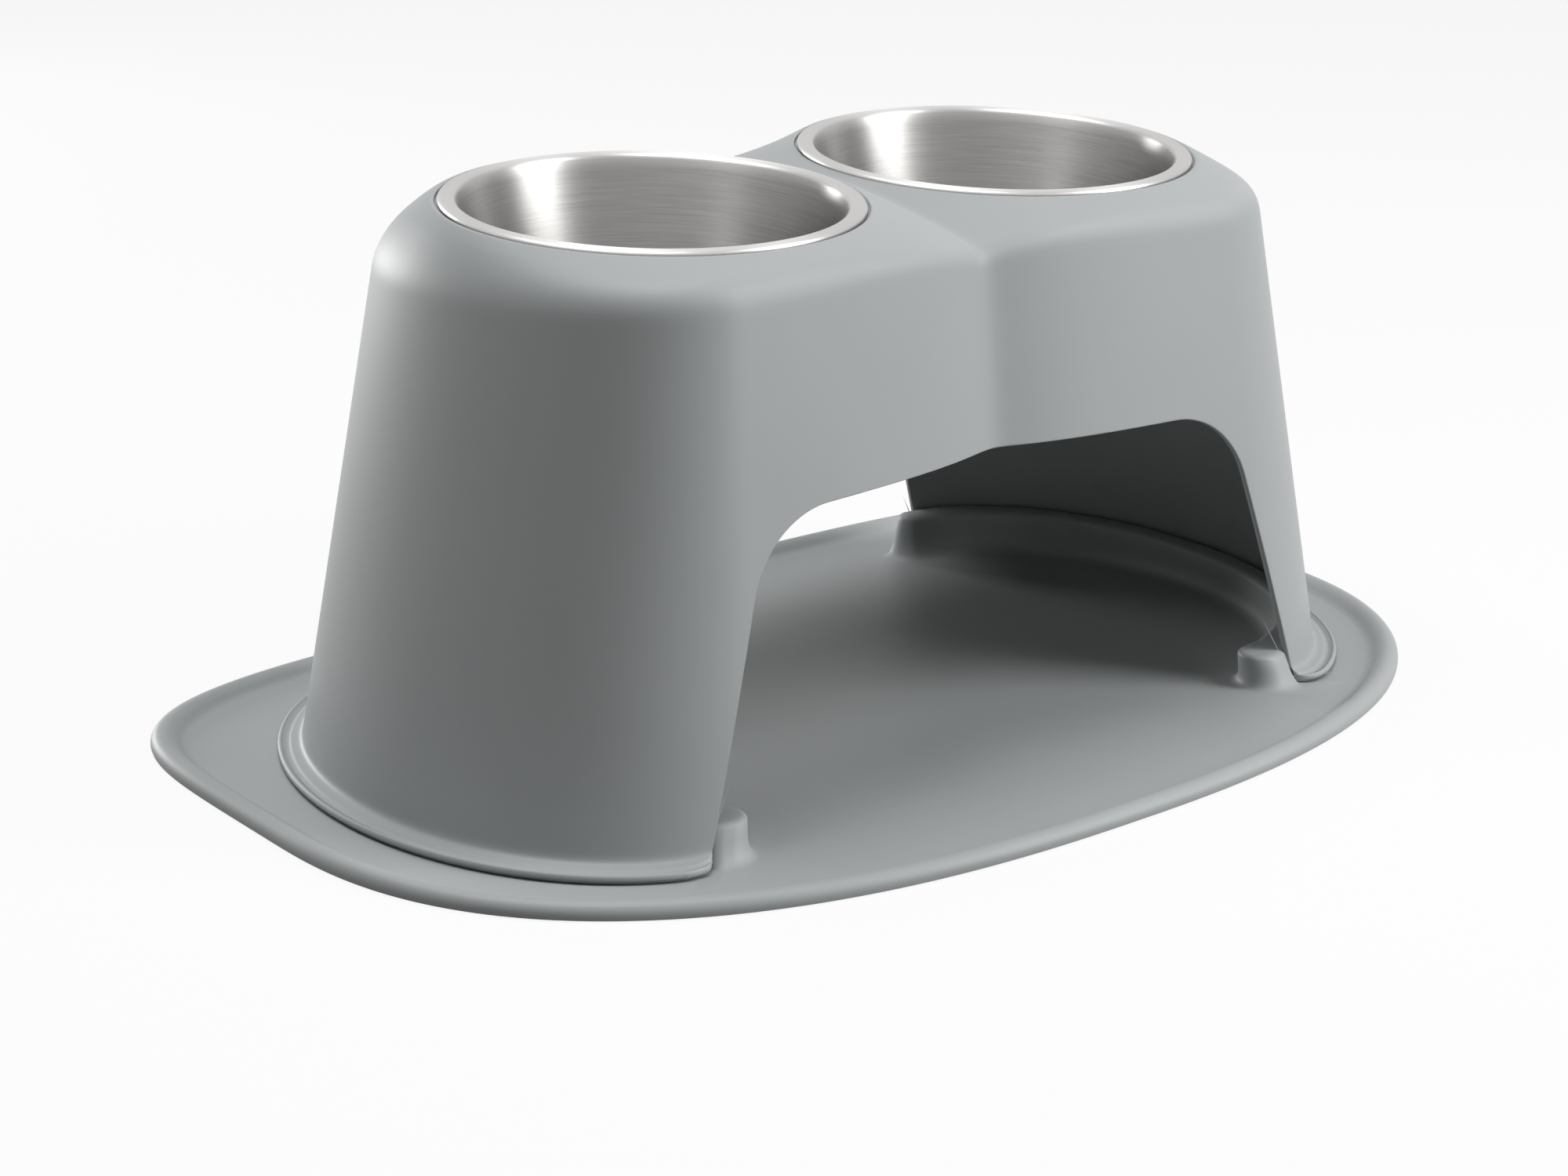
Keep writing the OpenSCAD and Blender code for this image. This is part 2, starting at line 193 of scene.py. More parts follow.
class Nodes:
    """A short hand for building the nodes of a material or a world."""

    def __init__(self, owner: bpy.types.Material | bpy.types.World) -> None:
        """Empties the owner's node tree.

        Args:
            owner: The material or world that the nodes belong to.
        """
        self.owner = owner
        owner.use_nodes = True
        self.tree = owner.node_tree
        self.tree.nodes.clear()

    def add(self, kind: str, **values: object) -> bpy.types.Node:
        """Adds a node, sets its properties and inputs, and links the sockets it is given.

        Args:
            kind: The node's type, without its ShaderNode prefix.
            values: Properties by name, inputs by name with spaces written as underscores, or
                inputs by number, as in0.

        Returns:
            The new node.
        """
        node = self.tree.nodes.new("ShaderNode" + kind)
        for key, value in values.items():
            socket = node.inputs.get(key.replace("_", " "))
            if socket is None and key.startswith("in") and key[2:].isdigit():
                socket = node.inputs[int(key[2:])]
            if socket is None:
                setattr(node, key, value)
            elif isinstance(value, bpy.types.NodeSocket):
                self.tree.links.new(value, socket)
            else:
                socket.default_value = value
        return node

    def maths(self, operation: str, a: object, b: object = 0.0) -> bpy.types.NodeSocket:
        """Result socket of a Math node."""
        return self.add("Math", operation=operation, in0=a, in1=b).outputs[0]

    def noise(
        self, place: bpy.types.NodeSocket, size_mm: float, detail: float
    ) -> bpy.types.NodeSocket:
        """Value of a noise whose features are size_mm across."""
        noise = self.add("TexNoise", Vector=place, Scale=1 / (size_mm * MM), Detail=detail)
        return noise.outputs["Fac"]

    def shades(
        self, share: bpy.types.NodeSocket, colour: Triple, factors: Pair
    ) -> bpy.types.NodeSocket:
        """Colour between a darker and a lighter shade.

        Args:
            share: Where it lies between the two shades.
            colour: The colour that both are made from.
            factors: What it is multiplied by for the darker and for the lighter shade.

        Returns:
            The colour's socket.
        """
        low, high = ((*(c * factor for c in colour), 1.0) for factor in factors)
        return self.add("Mix", data_type="RGBA", in0=share, in6=low, in7=high).outputs[2]

    def levels(
        self, share: bpy.types.NodeSocket, middle: float, spread: Pair
    ) -> bpy.types.NodeSocket:
        """Value that share moves from spread's first step off middle to its second."""
        low, high = (middle + step for step in spread)
        return self.add("MapRange", Value=share, in3=low, in4=high).outputs[0]

    def seen(self, path: bpy.types.Node) -> bpy.types.NodeSocket:
        """1 where the camera or a gloss sees the surface, and 0 elsewhere."""
        return self.maths("MAXIMUM", path.outputs["Is Camera Ray"], path.outputs["Is Glossy Ray"])

    def surface(self, **values: object) -> bpy.types.Material:
        """Ends a material in one shader.

        Args:
            values: The shader's inputs, as add takes them.

        Returns:
            The finished material.
        """
        shader = self.add("BsdfPrincipled", **values)
        self.add("OutputMaterial", Surface=shader.outputs[0])
        return self.owner


@dataclass(frozen=True)
class MouldedPlastic:
    """Satin grey moulding with a fine spark-eroded grain."""

    name: str = "moulded_plastic"
    colour: Triple = (0.385, 0.403, 0.406)
    roughness: float = 0.5
    rough_spread: Pair = (-0.04, 0.05)
    gloss: float = 0.45
    grain_mm: float = 0.45
    grain_depth_mm: float = 0.012
    grain_strength: float = 0.35
    cloud_mm: float = 60.0
    cloud_share: float = 0.035

    def build(self) -> bpy.types.Material:
        """Makes the material: soft clouds in the colour, grain in the bump and roughness.

        Returns:
            The material.
        """
        n = Nodes(bpy.data.materials.new(self.name))
        place = n.add("TexCoord").outputs["Object"]
        cloud = n.noise(place, self.cloud_mm, 2.0)
        grain = n.noise(place, self.grain_mm, 3.0)
        depth = self.grain_depth_mm * MM
        bump = n.add("Bump", Strength=self.grain_strength, Distance=depth, Height=grain)
        return n.surface(
            Base_Color=n.shades(cloud, self.colour, (1 - self.cloud_share, 1 + self.cloud_share)),
            Roughness=n.levels(grain, self.roughness, self.rough_spread),
            Normal=bump.outputs["Normal"],
            Specular_IOR_Level=self.gloss,
        )


@dataclass(frozen=True)
class BrushedSteel:
    """Stainless steel, brushed round the axis of the bowl that wears it, with a painted highlight
    that makes its flange lighter than its body.

    The brushing stretches a highlight across its lines, so it is turned a quarter from them.
    """

    name: str
    centre_mm: Triple
    lean: float
    highlight_ring_mm: Pair = (84.5, 87.0)
    colour: Triple = (0.36, 0.355, 0.347)
    line_factors: Pair = (0.72, 1.28)
    # Painted highlight: a lighter copy of the steel's colour, given to the flange and its rolled
    # edge in place of the lamps' reflection.
    flange_highlight_colour: Triple = (0.7, 0.685, 0.675)
    roughness: float = 0.37
    rough_spread: Pair = (-0.05, 0.09)
    line_mm: float = 0.9
    line_depth_mm: float = 0.01
    line_strength: float = 0.16
    streaks: float = 2.4
    stretch: float = 0.8
    quarter_turn: float = 0.25

    def brushing(self, n: Nodes) -> tuple[bpy.types.NodeSocket, bpy.types.NodeSocket]:
        """Lines that run round the bowl.

        Args:
            n: The material's nodes.

        Returns:
            The lines' value and the distance from the bowl's axis.
        """
        moved = n.add(
            "VectorMath",
            operation="SUBTRACT",
            in0=n.add("TexCoord").outputs["Object"],
            in1=tuple(c * MM for c in self.centre_mm),
        )
        level = n.add(
            "Mapping", Vector=moved.outputs[0], Rotation=(-math.radians(self.lean), 0.0, 0.0)
        )
        x, y, z = n.add("SeparateXYZ", Vector=level.outputs[0]).outputs
        squares = n.maths("ADD", n.maths("MULTIPLY", x, x), n.maths("MULTIPLY", y, y))
        radius = n.maths("SQRT", squares)
        lines = n.add(
            "CombineXYZ",
            in0=n.maths("MULTIPLY", n.maths("DIVIDE", x, radius), self.streaks),
            in1=n.maths("MULTIPLY", n.maths("DIVIDE", y, radius), self.streaks),
            in2=n.maths("MULTIPLY", n.maths("ADD", z, radius), 1 / (self.line_mm * MM)),
        )
        brush = n.add("TexNoise", Vector=lines.outputs[0], Scale=1.0, Detail=4.0, Roughness=0.7)
        return brush.outputs["Fac"], radius

    def build(self) -> bpy.types.Material:
        """Makes the material: fine lines round the bowl in roughness, colour and bump, and a
        painted highlight on the flange.

        Returns:
            The material.
        """
        n = Nodes(bpy.data.materials.new(self.name))
        lines, radius = self.brushing(n)
        # Painted highlight: past these radii the darker body steel gives way to the much lighter
        # flange colour.
        inner, outer = (r * MM for r in self.highlight_ring_mm)
        rim = n.add("MapRange", Value=radius, in1=inner, in2=outer)
        body = n.shades(lines, self.colour, self.line_factors)
        flange = (*self.flange_highlight_colour, 1.0)
        mix = n.add("Mix", data_type="RGBA", in0=rim.outputs[0], in6=body, in7=flange)
        depth = self.line_depth_mm * MM
        bump = n.add("Bump", Strength=self.line_strength, Distance=depth, Height=lines)
        return n.surface(
            Base_Color=mix.outputs[2],
            Roughness=n.levels(lines, self.roughness, self.rough_spread),
            Normal=bump.outputs["Normal"],
            Tangent=n.add("Tangent", direction_type="UV_MAP", uv_map=Bowl.UV).outputs[0],
            Metallic=1.0,
            Anisotropic=self.stretch,
            Anisotropic_Rotation=self.quarter_turn,
        )


@dataclass(frozen=True)
class SoftRubber:
    """Dark matt rubber of the pads."""

    name: str = "pad_rubber"
    colour: Triple = (0.028, 0.028, 0.031)
    grain_factors: Pair = (0.8, 1.25)
    roughness: float = 0.75
    rough_spread: Pair = (-0.08, 0.08)
    grain_mm: float = 0.8
    grain_depth_mm: float = 0.03
    grain_strength: float = 0.4

    def build(self) -> bpy.types.Material:
        """Makes the material, with a fine grain in colour, bump and roughness.

        Returns:
            The material.
        """
        n = Nodes(bpy.data.materials.new(self.name))
        grain = n.noise(n.add("TexCoord").outputs["Object"], self.grain_mm, 4.0)
        depth = self.grain_depth_mm * MM
        bump = n.add("Bump", Strength=self.grain_strength, Distance=depth, Height=grain)
        return n.surface(
            Base_Color=n.shades(grain, self.colour, self.grain_factors),
            Roughness=n.levels(grain, self.roughness, self.rough_spread),
            Normal=bump.outputs["Normal"],
        )


@dataclass(frozen=True)
class Seat:
    """Where the bowls sit: their axes, rims and lean, in millimetres and degrees."""

    lobe_x: float = 100.8
    centre_y: float = 12.5
    rim_height: float = 252.5
    rim_r: float = 94.0
    rim_proud: float = 1.2
    gap: float = 1.2
    ledge_w: float = 7.5
    roll_r: float = 1.3
    clear: float = 0.3
    lean: float = 3.0

    @property
    def radius(self) -> float:
        """Radius of the hole that a flange drops into."""
        return self.rim_r + self.gap

    def frame_of(self, side: Side) -> Matrix:
        """Place of a bowl: on its axis at the height of its rim, leaning with it."""
        turn = Matrix.Rotation(math.radians(self.lean), 4, "X")
        return Matrix.Translation((side.value * self.lobe_x, 0, self.rim_height)) @ turn

    def height(self, y: float) -> float:
        """Height of the stand's edge round a seat, at depth y from the bowls' line."""
        return self.rim_height - self.rim_proud + math.tan(math.radians(self.lean)) * y


@dataclass
class Stand:
    """The moulded stand: two tapered lobes with a soft waist, seats, arches and a foot lip.

    Sizes are in millimetres, and x, y and the height count from under the middle of the bowls.
    """

    seat: Seat
    foot_z: float = 2.9
    foot_reach: float = 163.0
    foot_depth: float = 141.4
    side_draft: float = 0.213
    front_draft: float = 0.11
    core_share: float = 0.355
    waist_depth: float = 12.0
    waist_spread: float = 35.0
    waist_round: float = 8.0
    wall: float = 3.0
    lip_w: float = 10.5
    lip_h: float = 4.0
    fillet_h: float = 9.0
    shoulder_h: float = 235.5
    shoulder_lean: float = 2.0
    top_power: float = 1.2
    valley_slope: float = 0.32
    valley_spread: float = 60.0
    valley_lean_share: float = 0.5
    shoulder_big: float = 12.0
    shoulder_small: float = 8.0
    arch_half_w: float = 179.0
    arch_h: float = 146.0
    arch_crown: float = 2.5
    leg_lean: float = 0.3
    arch_corner_r: float = 46.0
    band: float = 22.0
    band_cells: int = 12
    leg_cells: int = 46
    bridge_cells: int = 2
    middle_cells: int = 34
    outer_cells: int = 14
    end_cells: int = 46
    rise_cells: int = 16
    shoulder_cells: int = 9
    top_cells: int = 12
    crest_w: float = 1.5
    seat_edge_r: float = 0.9
    seat_edge_cells: int = 4
    edge_bevel: float = 0.55
    bevel_over: float = 60.0
    crowding: float = 1.6
    foot_end_share: float = 1.7

    # From the top of the fillet to the lip's underside: the share of the lip's width out from the
    # wall, the share of a height over the floor, and whether it is the fillet's and not the lip's.
    FOOT_SHARES = (
        (0.0, 1.0, True), (0.006, 0.85, True), (0.02, 0.73, True), (0.05, 0.63, True),
        (0.1, 0.56, True), (0.17, 0.51, True), (0.26, 0.48, True), (0.4, 1.03, False),
        (0.47, 0.99, False), (0.51, 0.89, False), (0.57, 0.78, False), (0.67, 0.72, False),
        (0.78, 0.76, False), (0.85, 0.86, False), (0.89, 0.95, False), (0.92, 1.0, False),
        (0.97, 0.98, False), (1.005, 0.9, False), (1.025, 0.75, False), (1.03, 0.58, False),
        (1.01, 0.4, False), (0.95, 0.26, False), (0.86, 0.16, False), (0.85, 0.0, False),
    )  # fmt: skip

    def reach(self, h: float) -> float:
        """Sideways reach of the wall from a bowl's axis, at height h."""
        return self.foot_reach - self.side_draft * h

    def depth(self, h: float) -> float:
        """Reach of the wall to the front and to the back, at height h."""
        return self.foot_depth - self.front_draft * h

    def core_x(self, h: float) -> float:
        """Where the straight part of the wall ends and its round end starts."""
        return self.seat.lobe_x + self.core_share * self.reach(h)

    def sag(self, x: float) -> float:
        """Depth of the waist at x."""
        away = math.hypot(x, self.waist_round)
        return self.waist_depth * math.exp((self.waist_round - away) / self.waist_spread)

    def wall_point(self, u: float, h: float, out: float, face: Face) -> Vector:
        """Point on the wall of the right half.

        Args:
            u: Way round the wall: 0 in the middle, 1 where the straight part ends, 2 at the side.
            h: Height.
            out: Distance out from the wall.
            face: Front or back.

        Returns:
            The point, in the stand's own frame.
        """
        core = self.core_x(h)
        if u <= 1:
            x = core * u
            y = self.depth(h) + out - self.sag(x)
        else:
            turn = math.radians(90 * (u - 1))
            x = core + (self.reach(h) * (1 - self.core_share) + out) * math.sin(turn)
            y = (self.depth(h) + out - self.sag(x)) * math.cos(turn)
        return Vector((x, face.value * y, h))

    def way_round(self, x: float, h: float) -> float:
        """Way round the wall, as wall_point counts it.

        Args:
            x: Place along X.
            h: Height.

        Returns:
            The way round, from 0 to 2.
        """
        core = self.core_x(h)
        if x <= core:
            return x / core
        end_reach = self.reach(h) * (1 - self.core_share)
        return 1 + math.degrees(math.asin((x - core) / end_reach)) / 90

    def corner(self) -> tuple[float, float, float, float]:
        """The round corner of an arch.

        Returns:
            X and height of its centre, and the angles where it starts and ends, in radians.
        """
        start = math.atan(self.leg_lean)
        end = math.pi / 2 - math.atan(self.arch_crown / self.arch_half_w)
        z = self.arch_h - self.arch_crown - self.arch_corner_r
        x = self.arch_half_w - self.leg_lean * z - self.arch_corner_r / math.cos(start)
        return x, z, start, end

    def leg_edge(self, share: float) -> Pair:
        """Point on a leg's edge.

        Args:
            share: Way up it, from the fillet over the lip to the middle of the corner.

        Returns:
            X and height.
        """
        x, z, start, end = self.corner()
        foot = self.foot_z + self.fillet_h
        top = z + self.arch_corner_r * math.sin(start)
        straight = (top - foot) / math.cos(start)
        curved = self.arch_corner_r * (end - start) / 2
        way = share * (straight + curved)
        if way < straight:
            h = foot + way * math.cos(start)
            return self.arch_half_w - self.leg_lean * h, h
        turn = start + (way - straight) / self.arch_corner_r
        return x + self.arch_corner_r * math.cos(turn), z + self.arch_corner_r * math.sin(turn)

    def crown_edge(self, share: float) -> Pair:
        """Point on the arch's top edge.

        Args:
            share: Way along it, from the middle of the corner to the arch's middle.

        Returns:
            X and height.
        """
        x, z, start, end = self.corner()
        curved = self.arch_corner_r * (end - start) / 2
        last_x = x + self.arch_corner_r * math.cos(end)
        last_z = z + self.arch_corner_r * math.sin(end)
        straight = math.hypot(last_x, self.arch_h - last_z)
        way = share * (curved + straight)
        if way < curved:
            turn = (start + end) / 2 + way / self.arch_corner_r
            return x + self.arch_corner_r * math.cos(turn), z + self.arch_corner_r * math.sin(turn)
        t = (way - curved) / straight
        return lerp(last_x, 0, t), lerp(last_z, self.arch_h, t)

    @property
    def belt_h(self) -> float:
        """Height of the level line over the arch, where the upper wall starts."""
        return self.arch_h + self.band

    def leg_u(self, h: float) -> float:
        """Way round the wall of the line beside a leg's edge, at height h."""
        level = min(h, self.belt_h)
        return self.way_round(self.arch_half_w - self.leg_lean * level + self.band, level)

    def crown_u(self) -> list[float]:
        """Ways round the wall of the columns over an arch.

        Returns:
            The ways, from the middle outwards.
        """
        top = self.core_x(self.shoulder_h)
        near = self.seat.lobe_x - self.seat.radius + self.crest_w
        bridge = [near * i / self.bridge_cells / top for i in range(self.bridge_cells)]
        middle = [
            lerp(near, self.seat.lobe_x, i / self.middle_cells) / top
            for i in range(self.middle_cells)
        ]
        first, last = self.seat.lobe_x / top, self.leg_u(self.belt_h)
        outer = [lerp(first, last, i / self.outer_cells) for i in range(self.outer_cells + 1)]
        return bridge + middle + outer

    def band_share(self, i: int) -> float:
        """Share across the band round an arch, closer together at the edge."""
        return (i / self.band_cells) ** self.crowding

    def leg_band(self, face: Face) -> bpy.types.Object:
        """The wall beside a leg's edge.

        Args:
            face: Front or back.

        Returns:
            The new patch.
        """

        def place(i: int, j: int) -> Vector:
            """Point of the patch.

            Args:
                i: Column.
                j: Row.

            Returns:
                The point, in millimetres.
            """
            share = j / self.leg_cells
            x, h = self.leg_edge(share)
            level = lerp(self.foot_z + self.fillet_h, self.belt_h, share)
            b = self.band_share(i)
            u = lerp(self.way_round(x, h), self.leg_u(level), b)
            return self.wall_point(u, lerp(h, level, b), 0, face)

        return patch("leg_band", self.band_cells, self.leg_cells, place)

    def crown_band(self, face: Face) -> bpy.types.Object:
        """The wall over an arch's top edge.

        Args:
            face: Front or back.

        Returns:
            The new patch.
        """
        ways = self.crown_u()

        def place(i: int, j: int) -> Vector:
            """Point of the patch.

            Args:
                i: Column.
                j: Row.

            Returns:
                The point, in millimetres.
            """
            x, h = self.crown_edge(1 - ways[i] / ways[-1])
            b = self.band_share(j)
            u = lerp(self.way_round(x, h), ways[i], b)
            return self.wall_point(u, lerp(h, self.belt_h, b), 0, face)

        return patch("crown_band", len(ways) - 1, self.band_cells, place)

    def end_u(self, h: float, i: int) -> float:
        """Way round the wall of column i between a leg and the side, at height h."""
        return lerp(self.leg_u(h), 2, i / self.end_cells)

    def leg_wall(self, face: Face) -> bpy.types.Object:
        """The wall of a leg, from its band to the side.

        Args:
            face: Front or back.

        Returns:
            The new patch.
        """

        def place(i: int, j: int) -> Vector:
            """Point of the patch.

            Args:
                i: Column.
                j: Row.

            Returns:
                The point, in millimetres.
            """
            h = lerp(self.foot_z + self.fillet_h, self.belt_h, j / self.leg_cells)
            return self.wall_point(self.end_u(h, i), h, 0, face)

        return patch("leg_wall", self.end_cells, self.leg_cells, place)

    def foot(self, face: Face) -> bpy.types.Object:
        """The fillet and the lip round a leg's foot, rounded off at the leg's edge.

        Args:
            face: Front or back.

        Returns:
            The new patch.
        """
        rows = self.FOOT_SHARES
        last = len(rows) - 1

        def place(i: int, j: int) -> Vector:
            """Point of the patch.

            Args:
                i: Column.
                j: Row.

            Returns:
                The point, in millimetres.
            """
            out_share, h_share, over = rows[last - j]
            plain = self.foot_z + self.fillet_h * j / last
            h = plain
            edge_u = self.way_round(self.arch_half_w - self.leg_lean * h, h)
            if i <= self.band_cells:
                u = lerp(edge_u, self.leg_u(h), self.band_share(i))
            else:
                u = self.end_u(h, i - self.band_cells)
            edge = self.wall_point(edge_u, h, 0, face)
            rounding = self.foot_end_share * self.lip_w
            away = min((self.wall_point(u, h, 0, face) - edge).length / rounding, 1)
            growth = math.sqrt(1 - (1 - away) ** 2)
            target = self.foot_z + h_share * (self.fillet_h if over else self.lip_h)
            h = lerp(plain, target, growth)
            return self.wall_point(u, h, out_share * self.lip_w * growth, face)

        return patch("foot", self.band_cells + self.end_cells, last, place)

    def valley_height(self, p: Vector) -> float:
        """Height of the valley between the bowls.

        Args:
            p: Place in the stand's own frame.

        Returns:
            The height.
        """
        s = self.seat
        past = max(0.0, math.hypot(abs(p.x) - s.lobe_x, p.y) - s.radius)
        falling = max(self.valley_lean_share, 1 - past / self.valley_spread)
        return (
            s.rim_height - s.rim_proud - self.valley_slope * past
            + math.tan(math.radians(s.lean)) * p.y * falling
        )  # fmt: skip

    def top_height(self, p: Vector, crest: Vector, share: float) -> float:
        """Height of the top on the way from a crest to the shoulder.

        Args:
            p: Place in the stand's own frame.
            crest: The crest's point.
            share: Share of the way, 0 at the crest and 1 at the shoulder.

        Returns:
            The height.
        """
        crest_h = self.seat.height(crest.y)
        fall = math.tan(math.radians(self.shoulder_lean)) * p.y
        plain = crest_h + (self.shoulder_h - fall - crest_h) * max(share, 0) ** self.top_power
        valley = math.exp(-((p.x / self.valley_spread) ** 2))
        return lerp(plain, self.valley_height(p), valley)

    def crest_under(self, corner: Vector) -> Vector:
        """Point on the seat's ring that the top runs to.

        Args:
            corner: Where the top starts, at the shoulder.

        Returns:
            The point, at height 0.
        """
        s = self.seat
        ring = s.radius + self.crest_w
        near = s.lobe_x - ring
        if corner.x >= s.lobe_x:
            away = Vector((corner.x - s.lobe_x, corner.y, 0)).normalized()
            return Vector((s.lobe_x, 0, 0)) + away * ring
        bridge_w = s.lobe_x - s.radius + self.crest_w
        if corner.x <= bridge_w:
            return Vector((corner.x / bridge_w * near, 0, 0))
        turn = math.pi / 2 * (corner.x - bridge_w) / (s.lobe_x - bridge_w)
        y = math.copysign(ring * math.sin(turn), corner.y)
        return Vector((s.lobe_x - ring * math.cos(turn), y, 0))

    def height_at(self, p: Vector, crest: Vector, corner: Vector, face: Face) -> float:
        """Height of the top at a point on the way from crest to corner.

        Args:
            p: The point.
            crest: Where the way starts, on the seat's ring.
            corner: Where it ends, at the shoulder.
            face: Front or back.

        Returns:
            The height.
        """
        s = self.seat
        if corner.x >= s.lobe_x:
            share = (p.xy - crest.xy).length / (corner.xy - crest.xy).length
            return self.top_height(p, crest, share)
        ring = s.radius + self.crest_w
        inside = ring**2 - (p.x - s.lobe_x) ** 2
        ring_y = math.sqrt(inside) if inside > 0 else 0.0
        u = p.x / self.core_x(self.shoulder_h)
        edge_y = abs(self.wall_point(u, self.shoulder_h, 0, face).y)
        share = min(max((abs(p.y) - ring_y) / (edge_y - ring_y), 0), 1)
        above = Vector((p.x, face.value * ring_y, 0))
        return self.top_height(p, above, share)

    def upper_column(self, u: float, face: Face) -> list[Vector]:
        """One column of the upper wall, the shoulder and the top, up to the seat.

        Args:
            u: Way round the wall.
            face: Front or back.

        Returns:
            The column's points, from the belt line to the seat.
        """
        shoulder = self.wall_point(u, self.shoulder_h, 0, face)
        crest = self.crest_under(shoulder)
        h = self.height_at(shoulder, crest, shoulder, face)
        corner = self.wall_point(u, h, 0, face)
        crest = self.crest_under(corner)
        swell = 1 - math.exp(-((corner.x / self.seat.lobe_x) ** 2))
        r = lerp(self.shoulder_small, self.shoulder_big, swell)
        run = (crest.xy - corner.xy).length
        past = crest.lerp(corner, 1 - min(r / run, 1 - self.core_share))
        low = self.wall_point(u, h - r, 0, face)
        past.z = self.height_at(past, crest, corner, face)
        rise = [
            self.wall_point(u, lerp(self.belt_h, h - r, i / self.rise_cells), 0, face)
            for i in range(self.rise_cells)
        ]
        cells = self.shoulder_cells
        turn = [bezier(low, corner, past, i / cells) for i in range(cells)]
        flat = []
        for i in range(self.top_cells + 1):
            p = past.lerp(crest, i / self.top_cells)
            p.z = self.height_at(p, crest, corner, face)
            flat.append(p)
        return rise + turn + flat

    def upper(self, face: Face) -> tuple[bpy.types.Object, list[Vector]]:
        """The wall over the arch with the shoulder and the top.

        Args:
            face: Front or back.

        Returns:
            The new patch, and the points of its last row.
        """
        ways = self.crown_u()
        ways += [self.end_u(self.belt_h, i) for i in range(1, self.end_cells + 1)]
        columns = [self.upper_column(u, face) for u in ways]
        rim = [column[-1] for column in columns]
        obj = patch("upper", len(ways) - 1, len(columns[0]) - 1, lambda i, j: columns[i][j])
        return obj, rim

    def seat_wall(self, rim: list[Vector]) -> bpy.types.Object:
        """The rounded edge of a seat, its wall and the ledge under the flange.

        Args:
            rim: The points that the top ends in.

        Returns:
            The new patch.
        """
        s = self.seat
        drop = -2 * s.roll_r - s.clear
        r = self.seat_edge_r
        rows = [(s.radius + self.crest_w, -s.rim_proud)]
        rows += arc((s.radius + r, -s.rim_proud - r), r, 90, 180, self.seat_edge_cells)
        rows += [(s.radius, drop), (s.radius - s.ledge_w / 2, drop), (s.radius - s.ledge_w, drop)]
        ring = rim[self.bridge_cells :]
        place_of = s.frame_of(Side.RIGHT)

        def place(i: int, j: int) -> Vector:
            """Point of the patch.

            Args:
                i: Column.
                j: Row.

            Returns:
                The point, in millimetres.
            """
            if j == 0:
                return ring[i]
            turn = math.atan2(ring[i].y, ring[i].x - s.lobe_x)
            r, z = rows[j]
            return place_of @ Vector((r * math.cos(turn), r * math.sin(turn), z))

        return patch("seat_wall", len(ring) - 1, len(rows) - 1, place)

    def build(self) -> bpy.types.Object:
        """Models the stand: half of its skin, mirrored, given its wall and rounded edges.

        Returns:
            The stand.
        """
        parts = []
        for face in Face:
            upper, rim = self.upper(face)
            parts += [upper, self.seat_wall(rim), self.crown_band(face), self.leg_band(face)]
            parts += [self.leg_wall(face), self.foot(face)]
        obj = weld(parts, "stand_shell", outward=False)
        finish_with(obj, "MIRROR", use_axis=(True, False, False), merge_threshold=MERGE_MM * MM)
        obj = weld([obj], "stand_shell")
        self.face_outwards(obj)
        finish_with(obj, "SOLIDIFY", thickness=self.wall * MM, offset=-1.0, use_even_offset=True)
        finish_with(
            obj, "BEVEL", width=self.edge_bevel * MM, segments=2, limit_method="ANGLE",
            angle_limit=math.radians(self.bevel_over), use_clamp_overlap=False,
        )  # fmt: skip
        for vertex in obj.data.vertices:
            vertex.co.z = max(vertex.co.z, self.foot_z * MM)
        obj.data.transform(Matrix.Translation((0, self.seat.centre_y * MM, 0)))
        smooth(obj)
        return obj

    def face_outwards(self, obj: bpy.types.Object) -> None:
        """Turns the open skin right way out, judged by the face furthest to the side.

        Args:
            obj: The skin.
        """
        outer = max(obj.data.polygons, key=lambda f: f.center.x)
        if outer.normal.x < 0:
            select_only(obj)
            bpy.ops.object.mode_set(mode="EDIT")
            bpy.ops.mesh.select_all(action="SELECT")
            bpy.ops.mesh.flip_normals()
            bpy.ops.object.mode_set(mode="OBJECT")

    def dress(self, obj: bpy.types.Object, plastic: bpy.types.Material) -> None:
        """Gives the stand its finish and its place in the frame.

        Args:
            obj: The stand.
            plastic: Its finish.
        """
        obj.data.materials.append(plastic)
        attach(obj, "stand")
        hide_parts("stand")


